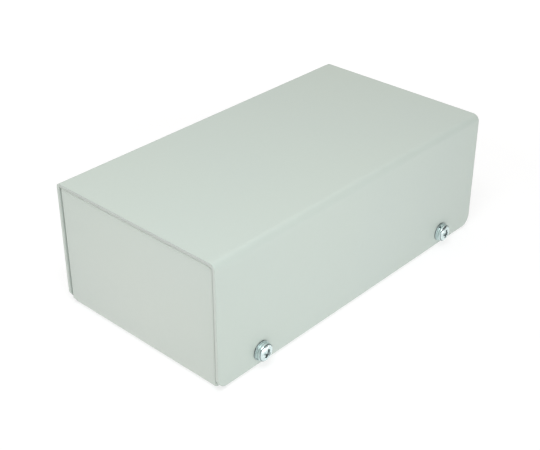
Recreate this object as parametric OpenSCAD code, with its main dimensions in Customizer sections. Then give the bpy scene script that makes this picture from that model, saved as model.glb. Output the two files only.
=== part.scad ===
// Two-piece folded aluminium instrument box.
// A U-shaped cover makes the top and the long sides. It slides down over a tray that makes the bottom,
// the two ends and a low flange along each long side, and four machine screws pull the cover to the flanges.
// Origin: centre of the tray's underside. X runs along the box, Z points up, the front is at -Y.

/* [Cover] */
// Length of the cover, end to end
box_l = 126; // [90:1:240]
// Width of the cover, outside its long sides
box_w = 67.2; // [45:0.2:150]
// Height of the cover, from its lower edges to its top
box_h = 42.2; // [26:0.2:100]
// Radius of the rounded lower corners of the cover's long sides
corner_r = 3.5; // [1:0.5:8]

/* [Sheet] */
// Thickness of the aluminium sheet
sheet_t = 1; // [0.8:0.1:1.5]
// Inside radius of the bends, apart from the cover's bend at the back
bend_r = 1.4; // [0.8:0.1:1.8]
// Inside radius of the cover's sharper bend at the back
back_bend_r = 0.3; // [0.2:0.1:1.8]

/* [Tray] */
// How far the tray's underside lies below the cover's lower edges
tray_drop = 1.1; // [0.2:0.1:2]
// How far each end panel stands in from the cover's end
end_inset = 0.4; // [0:0.1:3]
// Gap between an end panel and each long side of the cover
end_side_gap = 0.5; // [0.2:0.05:1]
// Gap between an end panel and the underside of the cover's top
end_top_gap = 0.5; // [0.1:0.05:1]
// Gap between a side flange and the cover
flange_gap = 0.1; // [0.05:0.05:0.3]
// Height of a side flange above the screws' axes
flange_rise = 6; // [4:0.5:12]
// Width of the relief slot between a side flange and an end panel's bend
relief_w = 1.2; // [0.8:0.1:3]
// Width of the notch that cuts the end bend short at each corner
notch_w = 1; // [0.6:0.1:1.5]
// Height of that notch above the tray's underside
notch_h = 1.7; // [1.2:0.1:2.4]

/* [Screws] */
// Distance from the cover's ends to the screws' axes
screw_inset = 17.8; // [10:0.2:30]
// Height of the screws' axes above the cover's lower edges
screw_h = 4.3; // [4:0.1:8]
// Diameter of the screws' thread
thread_d = 3; // [2.5:0.5:3.5]
// Length of the screws under the head
screw_l = 6; // [6:1:12]
// Height of the cone at the screws' ends
point_h = 0.4; // [0.2:0.1:0.6]
// Diameter of the pan heads
head_d = 5.8; // [5.4:0.1:6.6]
// Height of the pan heads
head_h = 1.6; // [1.6:0.1:2.6]
// Radius of the heads' domed top
dome_r = 5.5; // [5:0.1:6.5]
// Radius of the round where the domed top meets the head's side
shoulder_r = 0.6; // [0.2:0.1:0.7]
// Diameter of the cross recess at the top of the head
recess_d = 3; // [2.4:0.1:3.4]
// Depth of the cross recess
recess_h = 1.2; // [1:0.1:1.6]
// Width of the cross recess's wings
wing_w = 0.8; // [0.6:0.05:1]
// Angles at which the tightened screws' recesses stop, in degrees
recess_turn = [38, 12, 65, 27]; // [0:1:90]

/* [Washers] */
// Outside diameter of the flat washers
flat_d = 6.4; // [6.2:0.1:8]
// Thickness of the flat washers
flat_t = 0.5; // [0.4:0.1:0.8]
// Outside diameter of the spring washers
spring_d = 6; // [5.8:0.1:6.4]
// Thickness of the tightened spring washers
spring_t = 0.65; // [0.6:0.05:1]
// Width of the spring washers' split
split_w = 0.5; // [0.3:0.1:1]
// Slant of the split, in degrees from the screw's axis
split_slant = 25; // [10:5:35]
// Angles at which the washers' splits stop, in degrees
split_turn = [205, 118, 310, 152]; // [0:1:359]

/* [Collars] */
// Wall of the collars that are plunged round the tapped holes
collar_wall = 0.6; // [0.4:0.1:1]
// Depth of the collars under the flange
collar_h = 1.2; // [0.6:0.1:1.6]
// Width of the slope where a collar leaves the flange
collar_lip = 0.4; // [0.2:0.1:0.6]

/* [Clearances] */
// Diameter of the cover's screw holes over the thread
hole_play = 0.4; // [0.2:0.1:1]
// Diameter of the washers' bores over the thread
washer_play = 0.2; // [0.1:0.05:0.3]
// Diameter of the tapped collars over the thread
thread_play = 0.06; // [0.04:0.02:0.1]

/* [Hidden] */
$fn = 96;
eps = 0.01;

// Folding
outer_r = bend_r + sheet_t;
cover_inner_w = box_w - 2 * sheet_t;
cover_top = tray_drop + box_h;
tray_l = box_l - 2 * end_inset;
tray_h = cover_top - sheet_t - end_top_gap;
end_w = cover_inner_w - 2 * end_side_gap;
flange_w = cover_inner_w - 2 * flange_gap;

// Screw places: the four corners and the signs of X and Y there
corners = ["front_left", "front_right", "back_left", "back_right"];
signs = [[-1, -1], [1, -1], [-1, 1], [1, 1]];
screw_x = box_l / 2 - screw_inset;
screw_z = tray_drop + screw_h;
flange_h = screw_z + flange_rise;

// Relief: where the end bends begin, and where the flanges end
bend_x = tray_l / 2 - outer_r;
bend_y = flange_w / 2 - outer_r;
flange_x = bend_x - relief_w;

// Outside radius of the plunged collars
collar_r = (thread_d + thread_play) / 2 + collar_wall;

// Centres of the head's arcs, and where the dome meets the shoulder
dome_z = head_h - dome_r;
shoulder_x = head_d / 2 - shoulder_r;
shoulder_z = dome_z + sqrt(pow(dome_r - shoulder_r, 2) - pow(shoulder_x, 2));
dome_x = dome_r * shoulder_x / (dome_r - shoulder_r);

// The saw that splits a spring washer passes both its faces at a slant
split_h = spring_t / cos(split_slant) + 2 * split_w;

paint = "#ccd6cd";
zinc = "#c9d0d4";

// Rectangle standing on the X axis, with its two lower corners rounded
module cup(w, h, left_r, right_r) {
    translate([left_r - w / 2, 0]) square([w - left_r - right_r, h]);
    translate([-w / 2, left_r]) square([w / 2, h - left_r]);
    translate([0, right_r]) square([w / 2, h - right_r]);
    translate([left_r - w / 2, left_r]) circle(left_r);
    translate([w / 2 - right_r, right_r]) circle(right_r);
}

// Section of a sheet folded up at both sides, w wide and h high outside, with the two bends' inside radii
module folded(w, h, left_r, right_r) {
    difference() {
        cup(w, h, left_r + sheet_t, right_r + sheet_t);
        translate([0, sheet_t]) cup(w - 2 * sheet_t, h, left_r, right_r);
    }
}

// Turns a section drawn in XY up into the YZ plane and runs it along X
module along_x(l) {
    rotate([90, 0, 90]) linear_extrude(l, center = true) children();
}

// Turns a section drawn in XY up into the XZ plane and runs it along Y
module along_y(l) {
    rotate([90, 0, 0]) linear_extrude(l, center = true) children();
}

// Puts a piece drawn along +Z, with its seat at z = 0, on the long side at corner i.
// It then points outwards, and "at" is how far its seat is from the box's middle.
module on_side(i, at) {
    translate([signs[i].x * screw_x, signs[i].y * at, screw_z]) rotate([-90 * signs[i].y, 0, 0]) children();
}

module cover() {
    color(paint) difference() {
        intersection() {
            along_x(box_l) translate([0, cover_top]) mirror([0, 1]) folded(box_w, box_h, bend_r, back_bend_r);
            along_y(box_w) translate([0, tray_drop]) cup(box_l, box_h, corner_r, corner_r);
        }
        for (i = [0:3]) on_side(i, cover_inner_w / 2 - eps) cylinder(h = sheet_t + 2 * eps, d = thread_d + hole_play);
    }
}

// The bottom and the two end panels, with the strips for the side flanges cut out of the bottom
// and a notch at each corner, where an end panel comes down past its bend
module end_fold() {
    difference() {
        intersection() {
            along_y(end_w) folded(tray_l, tray_h, bend_r, bend_r);
            along_x(tray_l) translate([0, tray_h]) mirror([0, 1]) cup(end_w, tray_h, bend_r, back_bend_r);
        }
        for (s = [-1, 1]) translate([-bend_x, s > 0 ? bend_y : -end_w, -eps])
            cube([2 * bend_x, end_w - bend_y, tray_h]);
        for (s = signs) translate([s.x > 0 ? bend_x - eps : -tray_l / 2 - eps, s.y > 0 ? end_w / 2 - notch_w : -end_w / 2 - eps, -eps])
            cube([outer_r + 2 * eps, notch_w + eps, notch_h + eps]);
    }
}

// Stiffening collar that the punch draws inwards round a tapped hole, with its inner lip chamfered
module collar() {
    rotate_extrude() polygon([
        [0, 0],
        [collar_r + collar_lip, 0],
        [collar_r, collar_lip],
        [collar_r, collar_h],
        [0, collar_h]
    ]);
}

module tray() {
    color(paint) difference() {
        union() {
            end_fold();
            along_x(2 * flange_x) folded(flange_w, flange_h, bend_r, bend_r);
            for (i = [0:3]) on_side(i, flange_w / 2 - sheet_t) rotate([180, 0, 0]) collar();
        }
        for (i = [0:3]) {
            on_side(i, flange_w / 2 - sheet_t - collar_h - eps)
                cylinder(h = sheet_t + collar_h + 2 * eps, d = thread_d + thread_play);
            translate([signs[i].x * (flange_x + relief_w / 2), signs[i].y * bend_y, -eps])
                cylinder(h = sheet_t + 2 * eps, d = relief_w);
        }
    }
}

// Cross recess, open at z = 0 and narrowing downwards to its rounded tip
module cross_recess() {
    translate([0, 0, -recess_h]) intersection() {
        cylinder(h = recess_h + eps, d1 = wing_w, d2 = recess_d);
        for (a = [0, 90]) rotate(a) translate([-recess_d, -wing_w / 2, -eps])
            cube([2 * recess_d, wing_w, recess_h + 3 * eps]);
    }
}

// Half section of a pan head: a dome, a shoulder that meets it and the side in a tangent, and a flat seat
module head_section() {
    intersection() {
        union() {
            intersection() {
                translate([0, dome_z]) circle(dome_r);
                square([dome_x, head_h]);
            }
            square([head_d / 2, shoulder_z]);
            translate([shoulder_x, shoulder_z]) circle(shoulder_r);
        }
        square([head_d, head_h]);
    }
}

module screw(turn) {
    color(zinc) difference() {
        union() {
            rotate_extrude() head_section();
            translate([0, 0, point_h - screw_l]) cylinder(h = screw_l - point_h + eps, d = thread_d);
            translate([0, 0, -screw_l]) cylinder(h = point_h, d1 = thread_d - 2 * point_h, d2 = thread_d);
        }
        translate([0, 0, head_h]) rotate(turn) cross_recess();
    }
}

module spring_washer(turn) {
    color(zinc) difference() {
        cylinder(h = spring_t, d = spring_d);
        translate([0, 0, -eps]) cylinder(h = spring_t + 2 * eps, d = thread_d + washer_play);
        rotate(turn) translate([0, 0, spring_t / 2]) rotate([split_slant, 0, 0])
            translate([0, -split_w / 2, -split_h / 2]) cube([spring_d, split_w, split_h]);
    }
}

module flat_washer() {
    color(zinc) difference() {
        cylinder(h = flat_t, d = flat_d);
        translate([0, 0, -eps]) cylinder(h = flat_t + 2 * eps, d = thread_d + washer_play);
    }
}

cover();
tray();
for (i = [0:3]) {
    on_side(i, box_w / 2 + flat_t + spring_t) screw(recess_turn[i]);
    on_side(i, box_w / 2 + flat_t) spring_washer(split_turn[i]);
    on_side(i, box_w / 2) flat_washer();
}
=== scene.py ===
import math

import bmesh
import bpy
from mathutils import Matrix, Vector


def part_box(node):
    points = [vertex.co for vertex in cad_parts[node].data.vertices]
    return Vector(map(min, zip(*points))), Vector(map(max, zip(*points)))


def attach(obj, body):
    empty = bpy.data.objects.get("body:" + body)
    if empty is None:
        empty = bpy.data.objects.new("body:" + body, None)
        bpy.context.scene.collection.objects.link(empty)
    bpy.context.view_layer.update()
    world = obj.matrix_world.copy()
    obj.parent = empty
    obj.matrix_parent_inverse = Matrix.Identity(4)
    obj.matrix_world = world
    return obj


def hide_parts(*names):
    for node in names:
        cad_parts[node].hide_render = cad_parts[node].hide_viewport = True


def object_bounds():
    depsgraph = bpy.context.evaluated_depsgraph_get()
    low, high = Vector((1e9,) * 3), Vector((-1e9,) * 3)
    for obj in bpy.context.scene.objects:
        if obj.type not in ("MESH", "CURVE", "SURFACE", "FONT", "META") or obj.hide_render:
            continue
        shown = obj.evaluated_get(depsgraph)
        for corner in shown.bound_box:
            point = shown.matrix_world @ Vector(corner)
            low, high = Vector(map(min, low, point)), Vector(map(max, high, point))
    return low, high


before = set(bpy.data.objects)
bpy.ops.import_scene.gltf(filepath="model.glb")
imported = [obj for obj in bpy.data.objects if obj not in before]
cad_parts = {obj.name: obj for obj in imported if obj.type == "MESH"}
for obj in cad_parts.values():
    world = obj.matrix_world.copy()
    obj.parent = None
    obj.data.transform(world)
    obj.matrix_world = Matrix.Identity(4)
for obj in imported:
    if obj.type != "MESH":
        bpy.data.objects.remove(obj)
CAD_LO, CAD_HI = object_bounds()
CENTRE = (CAD_LO + CAD_HI) / 2

MM = 0.001

# The camera, set from the box's centre. Angles in degrees, lengths in metres.
AZIMUTH, ELEVATION = -47.396, 31.079
DISTANCE = 0.353185
AIM_RIGHT, AIM_UP = -0.003317, -0.00632
LENS_MM, SENSOR_MM = 71.574, 36.0

# Screws, in millimetres. Places, head widths and shank lengths come from the CAD's boxes.
AROUND = 128                                # points in each ring, 32 to a quarter of the recess
SHANK_R = 1.5
THREAD_PITCH, THREAD_DEPTH = 0.5, 0.27
GROOVE_HALF = 0.44                          # half the groove's width, as a share of the pitch
ROWS_PER_PITCH = 8
PLAIN_L, NECK_L = 0.3, 0.12                 # the plain shank under the head, and the ring on it
FADE_START, FADE_L = 0.25, 0.5              # where the thread fades out, from the head
POINT_H = 0.4
END_BREAK_R, END_BREAK_H = 0.05, 0.03       # the broken edge of the shank's end
END_CORE = 0.35                             # a ring on the flat end, as a share of the shank
HEAD_H = 1.6
DOME_R = 5.5
SHOULDER_R = 0.6
UNDER_EDGE_R = 0.12
RECESS_REACH, RECESS_FOOT = 1.45, 0.5       # from the axis to a wing's end, at the top and the foot
RECESS_W_TOP, RECESS_W_FOOT = 0.56, 0.34    # half a wing's width
RECESS_DEPTH, FOOT_DIP = 0.95, 0.08
RECESS_END_R, RECESS_INNER_R = 0.2, 0.14    # the rounds at a wing's end and between two wings
RIM_GROW, RIM_DROP = 0.06, 0.05             # the rounded rim, out from the recess and down from the dome

# Washers, in millimetres. Places, outer radii and thicknesses come from the CAD's boxes.
RING_STEPS = 96                             # sections round a washer
BORE_R = 1.6
BREAK = 0.05                                # broken edges
SPRING_ROUND = 0.12
SPLIT_W, SPLIT_SLANT = 0.5, 25              # the slant in degrees
FLAT_ROLL = 0.16                            # the rolled outer edge, away from the wall
FLAT_EDGE, FLAT_LEAD = 0.03, 0.1            # the outer edge at the wall, and the bore's away from it

CORNERS = {
    # name: (turn of the recess, turn of the split), degrees seen from outside
    "front_left": (57, 205),
    "front_right": (76, 118),
    "back_left": (65, 310),
    "back_right": (27, 152),
}

# Where the finish changes, in millimetres. The same planes hold at both ends and on both sides.
SHEET_T = 1.0
INSIDE_FOOT = 2.5       # painted shade inside the box from here up
COVER_X, COVER_Y, COVER_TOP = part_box("cover")[1] / MM
TRAY_X, TRAY_Y, TRAY_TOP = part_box("tray")[1] / MM
STACK_X = (sum(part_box("front_right_screw"), Vector()) / 2).x / MM
STACK_Z = (sum(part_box("front_right_screw"), Vector()) / 2).z / MM
SEAT = -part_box("front_right_spring_washer")[0].y / MM
SPRING_FOOT = -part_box("front_right_spring_washer")[1].y / MM - SEAT
HEAD_R = (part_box("front_right_screw")[1].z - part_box("front_right_screw")[0].z) / 2 / MM
FLAT_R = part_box("front_right_flat_washer")[1].x / MM - STACK_X


def turned(x, y, degrees):
    t = math.radians(degrees)
    return x * math.cos(t) - y * math.sin(t), x * math.sin(t) + y * math.cos(t)


# ---------------------------------------------------------------- meshes

SHARP_DEGREES = 35


def finish_mesh(name, bm):
    bmesh.ops.recalc_face_normals(bm, faces=bm.faces)
    mesh = bpy.data.meshes.new(name)
    bm.to_mesh(mesh)
    bm.free()
    mesh.shade_smooth()
    mesh.set_sharp_from_angle(angle=math.radians(SHARP_DEGREES))
    obj = bpy.data.objects.new(name, mesh)
    bpy.context.scene.collection.objects.link(obj)
    return obj


def loft(bm, rings, close_loop=False, cap_ends=False):
    """Skins a list of closed rings of equal counts with four-sided faces."""
    rows = [[bm.verts.new(p) for p in ring] for ring in rings]
    n = len(rows[0])
    pairs = list(zip(rows, rows[1:]))
    if close_loop:
        pairs.append((rows[-1], rows[0]))
    for a, b in pairs:
        for i in range(n):
            j = (i + 1) % n
            bm.faces.new((a[i], a[j], b[j], b[i]))
    if cap_ends:
        bm.faces.new(rows[0])
        bm.faces.new(rows[-1])
    return rows


def close_to_point(bm, ring, point):
    tip = bm.verts.new(point)
    for i in range(len(ring)):
        bm.faces.new((ring[i], ring[(i + 1) % len(ring)], tip))


def cross_outline(reach, half_w, end_r, inner_r, grow=0.0):
    """A Phillips cross with rounded corners: AROUND points, wing ends on the axes.

    grow sets the outline outwards along its own normals.
    """
    per = AROUND // 4
    quarter = []
    # the half end of the wing on +X, its rounded corner and its side
    for k in range(3):
        quarter.append(((reach, (half_w - end_r) * k / 3), (1, 0)))
    for k in range(5):
        a = math.radians(90 * k / 4)
        out = (math.cos(a), math.sin(a))
        quarter.append(((reach - end_r + end_r * out[0], half_w - end_r + end_r * out[1]), out))
    start, stop = reach - end_r, half_w + inner_r
    for k in range(1, 6):
        quarter.append(((start + (stop - start) * k / 6, half_w), (0, 1)))
    # half the inner round, and the point in its middle
    round_at = half_w + inner_r
    for k in range(4):
        a = math.radians(270 - 45 * k / 3)
        quarter.append(((round_at + inner_r * math.cos(a), round_at + inner_r * math.sin(a)),
                        (-math.cos(a), -math.sin(a))))
    # then the same again, mirrored in the diagonal
    quarter += [((p[1], p[0]), (n[1], n[0])) for p, n in reversed(quarter[1:-1])]
    assert len(quarter) == per, len(quarter)
    points = []
    for q in range(4):
        for p, n in quarter:
            x, y = p[0] + grow * n[0], p[1] + grow * n[1]
            points.append(turned(x, y, 90 * q))
    return points


def place(obj, x, z, y_face, side, turn):
    """Stands a fastener, built along +Z, out of the box's front or back."""
    out = Matrix.Rotation(math.radians(90 if side < 0 else -90), 4, "X")
    spin = Matrix.Rotation(math.radians(turn), 4, "Z")
    obj.data.transform(Matrix.Translation((x, y_face, z)) @ out @ spin @ Matrix.Scale(MM, 4))


ANGLES = [2 * math.pi * i / AROUND for i in range(AROUND)]


def circle(r, z):
    return [(r * math.cos(a), r * math.sin(a), z) for a in ANGLES]


def shank_rings(length):
    """From the end up to the head's seat.

    The thread is a V groove that runs round the shank. It fades out under the head and at
    the point.
    """
    rings = [
        circle(END_CORE * SHANK_R, -length),
        circle(SHANK_R - POINT_H - END_BREAK_R, -length),
        circle(SHANK_R - POINT_H, -length + END_BREAK_H),
    ]
    rows = int((length - PLAIN_L) / THREAD_PITCH * ROWS_PER_PITCH)
    for k in range(1, rows + 1):
        z = -length + END_BREAK_H + (length - END_BREAK_H - PLAIN_L) * k / rows
        lead = min(1, (z + length) / POINT_H)
        crest = SHANK_R - POINT_H * (1 - lead)
        fade = min(1, max(0, (-FADE_START - z) / FADE_L))
        ring = []
        for a in ANGLES:
            phase = (z / THREAD_PITCH - a / (2 * math.pi)) % 1
            groove = max(0, 1 - abs(phase - 0.5) / GROOVE_HALF)
            r = min(crest, SHANK_R - THREAD_DEPTH * groove * fade)
            ring.append((r * math.cos(a), r * math.sin(a), z))
        rings.append(ring)
    return rings + [circle(SHANK_R, -NECK_L), circle(SHANK_R, 0)]


def dome_z(r):
    return HEAD_H - DOME_R + math.sqrt(DOME_R ** 2 - r ** 2)


def mouth(grow):
    return cross_outline(RECESS_REACH, RECESS_W_TOP, RECESS_END_R, RECESS_INNER_R, grow)


def head_rings(head_r):
    """Out under the head, up its side, over its shoulder and in over the dome."""
    rings = [circle((SHANK_R + head_r) / 2, 0)]
    for k in range(4):
        a = math.radians(90 * k / 3)
        rings.append(circle(head_r - UNDER_EDGE_R * (1 - math.sin(a)), UNDER_EDGE_R * (1 - math.cos(a))))
    # the shoulder: an arc that meets the side and the dome in a tangent
    dome_c = HEAD_H - DOME_R
    arc_r = head_r - SHOULDER_R
    arc_z = dome_c + math.sqrt((DOME_R - SHOULDER_R) ** 2 - arc_r ** 2)
    last = math.atan2(arc_z - dome_c, arc_r)
    for k in range(9):
        a = last * k / 8
        rings.append(circle(arc_r + SHOULDER_R * math.cos(a), arc_z + SHOULDER_R * math.sin(a)))
    edge_r = arc_r + SHOULDER_R * math.cos(last)
    # over the dome, from a circle to the outline of the recess's rim
    for s in (0.9, 0.78, 0.64, 0.5, 0.36, 0.24, 0.13, 0.05, 0):
        ring = []
        for (x, y), a in zip(mouth(RIM_GROW), ANGLES):
            x, y = x + (edge_r * math.cos(a) - x) * s, y + (edge_r * math.sin(a) - y) * s
            ring.append((x, y, dome_z(math.hypot(x, y))))
        rings.append(ring)
    return rings


def recess_rings():
    """Down over the rim and the walls, which close in towards the foot."""
    rings = []
    # shares of the rim's growth and of its drop
    for grow, drop in ((1 / 2, 0.16), (1 / 6, 1 / 2), (0, 1)):
        outline = mouth(grow * RIM_GROW)
        rings.append([(x, y, dome_z(math.hypot(x, y)) - drop * RIM_DROP) for x, y in outline])
    top, foot = dome_z(RECESS_REACH) - RIM_DROP, HEAD_H - RECESS_DEPTH
    for t in (0.3, 0.6, 0.85, 1.0):
        reach = RECESS_REACH + (RECESS_FOOT - RECESS_REACH) * t
        half_w = RECESS_W_TOP + (RECESS_W_FOOT - RECESS_W_TOP) * t
        end_r = min(RECESS_END_R, (reach - half_w) * 0.7)
        inner_r = min(RECESS_INNER_R, (reach - half_w) * 0.3)
        outline = cross_outline(reach, half_w, end_r, inner_r)
        rings.append([(x, y, (1 - t) * top + t * foot) for x, y in outline])
    return rings


def make_screw(name, head_r, shank_l):
    bm = bmesh.new()
    rows = loft(bm, shank_rings(shank_l) + head_rings(head_r) + recess_rings())
    close_to_point(bm, rows[0], (0, 0, -shank_l))
    close_to_point(bm, rows[-1], (0, 0, HEAD_H - RECESS_DEPTH - FOOT_DIP))
    return finish_mesh(name, bm)


def make_spring_washer(name, outer_r, thick):
    bm = bmesh.new()
    r, c = SPRING_ROUND, BREAK
    mid = 0.3 * r       # from a corner's two faces to the middle of its round
    section = [
        (BORE_R, c), (BORE_R + c, 0),
        (outer_r - r, 0), (outer_r - mid, mid), (outer_r, r),
        (outer_r, thick - r), (outer_r - mid, thick - mid), (outer_r - r, thick),
        (BORE_R + c, thick), (BORE_R, thick - c),
    ]
    middle_r = (BORE_R + outer_r) / 2
    half_gap = SPLIT_W / 2 / math.cos(math.radians(SPLIT_SLANT)) / middle_r
    rings = []
    for k in range(RING_STEPS + 1):
        t = half_gap + (2 * math.pi - 2 * half_gap) * k / RING_STEPS
        ring = []
        for rr, z in section:
            a = t + (z - thick / 2) * math.tan(math.radians(SPLIT_SLANT)) / rr
            ring.append((rr * math.cos(a), rr * math.sin(a), z))
        rings.append(ring)
    loft(bm, rings, cap_ends=True)
    return finish_mesh(name, bm)


def make_flat_washer(name, outer_r, thick):
    bm = bmesh.new()
    roll = FLAT_ROLL
    section = [(BORE_R, BREAK), (BORE_R + BREAK, 0), (outer_r - FLAT_EDGE, 0), (outer_r, FLAT_EDGE)]
    for k in range(6):
        a = math.radians(90 * k / 5)
        section.append((outer_r - roll + roll * math.cos(a), thick - roll + roll * math.sin(a)))
    section += [(BORE_R + FLAT_LEAD, thick), (BORE_R, thick - FLAT_LEAD)]
    rings = []
    for k in range(RING_STEPS):
        a = 2 * math.pi * k / RING_STEPS
        rings.append([(rr * math.cos(a), rr * math.sin(a), z) for rr, z in section])
    loft(bm, rings, close_loop=True)
    return finish_mesh(name, bm)


def dress(obj, node, material):
    obj.data.materials.append(material)
    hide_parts(node)
    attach(obj, "root")


def make_fasteners(zinc):
    """A finer screw and two finer washers for each stack, standing for its CAD nodes."""
    for corner, (recess_turn, split_turn) in CORNERS.items():
        side = -1 if corner.startswith("front") else 1
        boxes = {part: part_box(f"{corner}_{part}") for part in ("screw", "spring_washer", "flat_washer")}
        centre = sum(boxes["screw"], Vector()) / 2

        def outward(part):
            """A part's nearest and furthest distance from the middle of the box."""
            return sorted(side * point.y for point in boxes[part])

        def radius(part):
            lo, hi = boxes[part]
            return (hi.z - lo.z) / 2 / MM

        wall, flat_top = outward("flat_washer")
        seat = outward("spring_washer")[1]
        tip = outward("screw")[0]
        flat_t, split_t, shank_l = (flat_top - wall) / MM, (seat - flat_top) / MM, (seat - tip) / MM
        flat = make_flat_washer(f"{corner}_stamped_washer", radius("flat_washer"), flat_t)
        split = make_spring_washer(f"{corner}_split_washer", radius("spring_washer"), split_t)
        screw = make_screw(f"{corner}_pan_screw", radius("screw"), shank_l)
        for obj, part, face, turn in (
            (flat, "flat_washer", wall, 0),
            (split, "spring_washer", flat_top, split_turn),
            (screw, "screw", seat, recess_turn),
        ):
            place(obj, centre.x, centre.z, side * face, side, turn)
            dress(obj, f"{corner}_{part}", zinc)


# ---------------------------------------------------------------- materials

class Nodes:
    """Short names for making and joining shader nodes.

    Noise scales are per metre. A mask is a value from 0 to 1.
    """

    def __init__(self, name):
        self.material = bpy.data.materials.new(name)
        self.material.use_nodes = True
        self.tree = self.material.node_tree
        self.shader = self.tree.nodes["Principled BSDF"]

    def add(self, kind, **settings):
        node = self.tree.nodes.new(kind)
        for key, value in settings.items():
            setattr(node, key, value)
        return node

    def link(self, a, b):
        self.tree.links.new(a, b)

    def noise(self, coords, scale, detail):
        n = self.add("ShaderNodeTexNoise")
        n.inputs["Scale"].default_value = scale
        n.inputs["Detail"].default_value = detail
        self.link(coords, n.inputs["Vector"])
        return n.outputs["Fac"]

    def remap(self, value, lo, hi, from_lo=0.3, from_hi=0.7):
        n = self.add("ShaderNodeMapRange")
        n.inputs["From Min"].default_value = from_lo
        n.inputs["From Max"].default_value = from_hi
        n.inputs["To Min"].default_value = lo
        n.inputs["To Max"].default_value = hi
        self.link(value, n.inputs["Value"])
        return n.outputs["Result"]

    def blend(self, fac, a, b):
        n = self.add("ShaderNodeMix", data_type="RGBA")
        for socket, colour in (("A", a), ("B", b)):
            if isinstance(colour, tuple):
                n.inputs[socket].default_value = (*colour, 1)
            else:
                self.link(colour, n.inputs[socket])
        self.link(fac, n.inputs["Factor"])
        return n.outputs["Result"]

    def math(self, operation, a, b=0.0):
        n = self.add("ShaderNodeMath", operation=operation)
        for socket, value in zip(n.inputs, (a, b)):
            if isinstance(value, (int, float)):
                socket.default_value = value
            else:
                self.link(value, socket)
        return n.outputs["Value"]

    def axes(self, coords):
        """X, Y and Z in millimetres."""
        n = self.add("ShaderNodeSeparateXYZ")
        self.link(coords, n.inputs["Vector"])
        return [self.math("DIVIDE", n.outputs[axis], MM) for axis in "XYZ"]

    def rise(self, value, start, end):
        return self.remap(value, 0, 1, start, end)

    def fall(self, value, start, end):
        return self.remap(value, 1, 0, start, end)

    def all_of(self, first, *others):
        for other in others:
            first = self.math("MULTIPLY", first, other)
        return first

    def any_of(self, first, *others):
        for other in others:
            first = self.math("MAXIMUM", first, other)
        return first

    def band(self, value, lo, hi, soft):
        """1 between lo and hi, fading to 0 over the soft width outside them."""
        return self.all_of(self.rise(value, lo - soft, lo), self.fall(value, hi, hi + soft))

    def bump(self, height, strength, distance, normal=None):
        n = self.add("ShaderNodeBump")
        n.inputs["Strength"].default_value = strength
        n.inputs["Distance"].default_value = distance
        self.link(height, n.inputs["Height"])
        if normal:
            self.link(normal, n.inputs["Normal"])
        return n.outputs["Normal"]


PAINT = (0.571, 0.638, 0.581)
PAINT_COOL = (0.563, 0.63, 0.584)
# painted shade on the cover's cut ends
PAINTED_EDGE_SHADE = (0.475, 0.515, 0.48)
# painted shade inside the box
PAINTED_INSIDE_SHADE = (0.345, 0.36, 0.345)
# painted highlight on the end panels' upper edges
PAINTED_LIP_HIGHLIGHT = (0.86, 0.93, 0.87)
PAINT_ROUGH = (0.42, 0.52)
PATCH_SCALE, EDGE_SHADE_SCALE, PEEL_SCALE, GRAIN_SCALE = 18, 160, 900, 5200
EDGE_ROUND, PEEL_H, GRAIN_H = 0.22, 0.02, 0.006     # millimetres


def paint_places(n, coords):
    """Masks for painted shade on the cover's cut ends and inside the box, and for a painted highlight on
    the end panels' upper edges.
    """
    x, y, z = n.axes(coords)
    far_x, far_y = n.math("ABSOLUTE", x), n.math("ABSOLUTE", y)
    # painted shade on a cut end: darker from the outer face to the inner one, unevenly along it
    below, within = n.math("SUBTRACT", COVER_TOP, z), n.math("SUBTRACT", COVER_Y, far_y)
    edge_shade_ramp = n.math("MINIMUM", n.rise(below, -0.1, 0.4), n.rise(within, 0.5, SHEET_T))
    edge_shade_unevenness = n.remap(n.noise(coords, EDGE_SHADE_SCALE, detail=3), 0.55, 1.0)
    cut_end = n.all_of(n.rise(far_x, COVER_X - 0.14, COVER_X - 0.02), edge_shade_ramp, edge_shade_unevenness)
    inner_y = COVER_Y - SHEET_T
    # painted shade on all inside faces of the box above INSIDE_FOOT
    inside = n.all_of(
        n.band(z, INSIDE_FOOT, TRAY_TOP - 0.2, 0.1),
        n.fall(far_x, TRAY_X - 0.4, TRAY_X - 0.05),
        n.fall(far_y, inner_y - 0.1, inner_y),
    )
    # painted highlight: the end panels' upper edges and the sheet right above them are painted pale
    lip = n.all_of(
        n.band(z, TRAY_TOP - 0.08, COVER_TOP - SHEET_T + 0.02, 0.06),
        n.rise(far_x, TRAY_X - 1.8, TRAY_X - 1.4),
        n.fall(far_y, TRAY_Y - 0.3, TRAY_Y - 0.1),
    )
    return cut_end, inside, lip


def make_paint():
    """Satin powder coat: orange peel about a millimetre across, with fine grain on it.

    Painted shade greys the cover's cut ends and darkens the inside of the box; a painted highlight makes
    the end panels' upper edges and the sheet right above them pale.
    """
    n = Nodes("paint")
    coords = n.add("ShaderNodeTexCoord").outputs["Object"]
    patches = n.noise(coords, PATCH_SCALE, detail=3)
    peel = n.noise(coords, PEEL_SCALE, detail=1)
    grain = n.noise(coords, GRAIN_SCALE, detail=1)
    cut_end, inside, lip = paint_places(n, coords)
    colour = n.blend(n.remap(patches, 0, 1), PAINT, PAINT_COOL)
    # painted highlight on the lip, painted shade on the cut ends and inside the box
    for mask, other in ((lip, PAINTED_LIP_HIGHLIGHT), (cut_end, PAINTED_EDGE_SHADE), (inside, PAINTED_INSIDE_SHADE)):
        colour = n.blend(mask, colour, other)
    n.link(colour, n.shader.inputs["Base Color"])
    n.link(n.remap(peel, *PAINT_ROUGH), n.shader.inputs["Roughness"])
    # the coat pulls round every edge
    rounded = n.add("ShaderNodeBevel", samples=6)
    rounded.inputs["Radius"].default_value = EDGE_ROUND * MM
    soft = n.bump(peel, 0.25, PEEL_H * MM, rounded.outputs["Normal"])
    n.link(n.bump(grain, 0.2, GRAIN_H * MM, soft), n.shader.inputs["Normal"])
    n.shader.inputs["IOR"].default_value = 1.48
    return n.material


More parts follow.
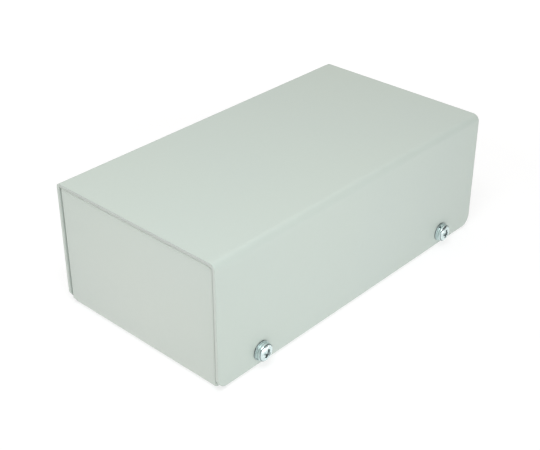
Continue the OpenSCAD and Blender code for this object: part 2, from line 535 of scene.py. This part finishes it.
ZINC = (0.75, 0.87, 0.87)
ZINC_DULL = (0.60, 0.71, 0.70)
# painted shade on the stacks: down in the recess, round the head's shoulder, on the flat washer's rim and
# where the parts meet
ZINC_SHADE = (0.07, 0.09, 0.09)
JOINT_SHADE, SHOULDER_SHADE = 0.35, 0.8     # how strong the painted shade is there
ZINC_ROUGH, DULL_ROUGH = (0.16, 0.3), 0.5
CLOUD_SCALE, SHADE_PATCH_SCALE, FORGED_SCALE = 700, 1100, 6000
FORGED_H = 0.008                            # millimetres
WINGS = (0.72, 1.5)                         # radii between which the recess gets painted shade, in millimetres


def zinc_places(n, coords):
    """Masks for the painted shade on a stack, and for all that lies below its dome."""
    x, y, z = n.axes(coords)
    # out from the head's seat, and off the screw's axis
    out = n.math("SUBTRACT", n.math("ABSOLUTE", y), SEAT)
    off_x = n.math("SUBTRACT", n.math("ABSOLUTE", x), STACK_X)
    off_z = n.math("SUBTRACT", z, STACK_Z)
    r_squared = n.math("ADD", n.math("MULTIPLY", off_x, off_x), n.math("MULTIPLY", off_z, off_z))
    r = n.math("SQRT", r_squared)
    dome = n.math("SUBTRACT", HEAD_H, n.math("DIVIDE", r_squared, 2 * DOME_R))
    below_dome = n.rise(n.math("SUBTRACT", dome, out), 0.08, 0.3)
    # painted shade in the recess, at the joints, on the flat washer's rim and round the head's shoulder
    recess = n.all_of(n.band(r, *WINGS, 0.12), below_dome, n.rise(out, 0.1, 0.2))
    under_head = n.band(out, -0.04, 0.04, 0.08)
    under_spring = n.band(out, SPRING_FOOT - 0.03, SPRING_FOOT + 0.03, 0.08)
    joints = n.all_of(JOINT_SHADE, n.any_of(under_head, under_spring))
    rim = n.all_of(
        n.rise(r, FLAT_R - 0.12, FLAT_R - 0.06),
        n.fall(out, SPRING_FOOT - 0.22, SPRING_FOOT - 0.08),
    )
    shoulder = n.all_of(
        n.band(r, HEAD_R - 0.3, HEAD_R - 0.14, 0.1),
        n.remap(out, 0, SHOULDER_SHADE, 0.35, 0.6),
    )
    # uneven patches in the painted shade
    shade_patches = n.remap(n.noise(coords, SHADE_PATCH_SCALE, detail=2), 0.75, 0.95)
    return n.all_of(n.any_of(recess, joints, rim, shoulder), shade_patches), below_dome


def make_zinc():
    """Bright zinc plate: cool, slightly cloudy, with a fine forged grain.

    Painted shade darkens it down in the recess, round the head's shoulder, on the flat washer's rim and a
    little where the parts meet. All that lies below the dome is duller than the dome.
    """
    n = Nodes("zinc")
    coords = n.add("ShaderNodeTexCoord").outputs["Object"]
    clouds = n.noise(coords, CLOUD_SCALE, detail=3)
    forged = n.noise(coords, FORGED_SCALE, detail=2)
    dark, below_dome = zinc_places(n, coords)
    plate = n.blend(n.remap(clouds, 0, 1), ZINC, ZINC_DULL)
    # painted shade over the plate
    n.link(n.blend(dark, plate, ZINC_SHADE), n.shader.inputs["Base Color"])
    dull = n.all_of(n.any_of(dark, below_dome), DULL_ROUGH)
    n.link(n.any_of(n.remap(clouds, *ZINC_ROUGH), dull), n.shader.inputs["Roughness"])
    n.link(n.bump(forged, 0.2, FORGED_H * MM), n.shader.inputs["Normal"])
    n.shader.inputs["Metallic"].default_value = 1.0
    return n.material


# ---------------------------------------------------------------- stage

def make_camera():
    a, e = math.radians(AZIMUTH), math.radians(ELEVATION)
    back = Vector((math.sin(a) * math.cos(e), -math.cos(a) * math.cos(e), math.sin(e)))
    right = Vector((0, 0, 1)).cross(back).normalized()
    up = back.cross(right)
    data = bpy.data.cameras.new("camera")
    data.lens, data.sensor_width = LENS_MM, SENSOR_MM
    data.clip_start, data.clip_end = 0.01, 20
    camera = bpy.data.objects.new("camera", data)
    camera.location = CENTRE + right * AIM_RIGHT + up * AIM_UP + back * DISTANCE
    camera.rotation_mode = "QUATERNION"
    camera.rotation_quaternion = back.to_track_quat("Z", "Y")
    bpy.context.scene.collection.objects.link(camera)
    bpy.context.scene.camera = camera


FLOOR_SIZE = 3.0
FLOOR_GREY = 0.3
FLOOR_GLOW, FAR_GLOW = 0.749, 0.95
GLOW_FROM, GLOW_TO = 0.12, 0.28     # between these distances from the middle the glow rises


def make_floor():
    mesh = bpy.data.meshes.new("floor")
    s = FLOOR_SIZE
    mesh.from_pydata([(-s, -s, 0), (s, -s, 0), (s, s, 0), (-s, s, 0)], [], [(0, 1, 2, 3)])
    floor = bpy.data.objects.new("floor", mesh)
    bpy.context.scene.collection.objects.link(floor)
    n = Nodes("floor")
    n.shader.inputs["Base Color"].default_value = (FLOOR_GREY, FLOOR_GREY, FLOOR_GREY, 1)
    n.shader.inputs["Roughness"].default_value = 1.0
    n.shader.inputs["Specular IOR Level"].default_value = 0.0
    n.shader.inputs["Emission Color"].default_value = (1, 1, 1, 1)
    reach = n.add("ShaderNodeVectorMath", operation="LENGTH")
    n.link(n.add("ShaderNodeTexCoord").outputs["Object"], reach.inputs[0])
    glow = n.remap(reach.outputs["Value"], FLOOR_GLOW, FAR_GLOW, GLOW_FROM, GLOW_TO)
    n.link(glow, n.shader.inputs["Emission Strength"])
    mesh.materials.append(n.material)


SKY = 0.349
SKY_COLOUR = (1.0, 0.962, 0.939)
# (how far up a direction points, brightness); all that points down is like the first
SKY_STOPS = [(0.0, 0.15), (0.12, 0.12), (0.2, 0.9), (0.55, 1.0), (0.7, 0.45), (1.0, 0.6)]


def make_world():
    """A white studio with a dark band low on the walls, which the zinc reflects."""
    world = bpy.data.worlds.new("studio")
    bpy.context.scene.world = world
    world.use_nodes = True
    tree = world.node_tree
    background = tree.nodes["Background"]
    coords = tree.nodes.new("ShaderNodeTexCoord")
    split = tree.nodes.new("ShaderNodeSeparateXYZ")
    ramp = tree.nodes.new("ShaderNodeValToRGB")
    tree.links.new(coords.outputs["Generated"], split.inputs["Vector"])
    tree.links.new(split.outputs["Z"], ramp.inputs["Fac"])
    tree.links.new(ramp.outputs["Color"], background.inputs["Color"])
    ramp.color_ramp.interpolation = "EASE"
    while len(ramp.color_ramp.elements) < len(SKY_STOPS):
        ramp.color_ramp.elements.new(0.5)
    for element, (at, value) in zip(ramp.color_ramp.elements, SKY_STOPS):
        element.position = at
        element.color = (*(value * c for c in SKY_COLOUR), 1)
    background.inputs["Strength"].default_value = SKY


LIGHTS = {
    # name: (place from the box's centre, width, height, watts, colour)
    "key": ((-0.14, -0.1, 0.28), 0.15, 0.15, 0.568, (0.927, 0.982, 1.0)),
    "low front": ((-0.07, -0.25, 0.0), 0.2, 0.05, 0.116, (0.94, 0.991, 1.0)),
    "low left": ((-0.2, 0.03, -0.011), 0.15, 0.02, 0.0282, (1.0, 0.976, 0.982)),
    "left card": ((-0.11, 0.0, -0.0195), 0.07, 0.004, 0.00299, (1.0, 0.689, 0.714)),
    "front card": ((0.0, -0.085, -0.0195), 0.13, 0.004, 0.00444, (1.0, 0.975, 0.989)),
    "back": ((0.0, 0.25, 0.3), 0.3, 0.3, 0.346, (1.0, 0.954, 0.942)),
    "right": ((0.15, 0.0, 0.35), 0.3, 0.3, 0.397, (1.0, 0.966, 0.952)),
}


def make_lights():
    for name, (place_at, width, height, watts, colour) in LIGHTS.items():
        data = bpy.data.lights.new(name, "AREA")
        data.shape = "RECTANGLE"
        data.size, data.size_y = width, height
        data.energy = watts
        data.color = colour
        light = bpy.data.objects.new(name, data)
        light.location = CENTRE + Vector(place_at)
        light.visible_camera = False
        light.rotation_mode = "QUATERNION"
        light.rotation_quaternion = Vector(place_at).to_track_quat("Z", "Y")
        bpy.context.scene.collection.objects.link(light)


# ---------------------------------------------------------------- the build

make_camera()
paint, zinc = make_paint(), make_zinc()
for name in ("cover", "tray"):
    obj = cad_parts[name]
    obj.data.materials.clear()
    obj.data.materials.append(paint)
make_fasteners(zinc)
make_floor()
make_world()
make_lights()
bpy.context.scene.view_settings.view_transform = "Standard"
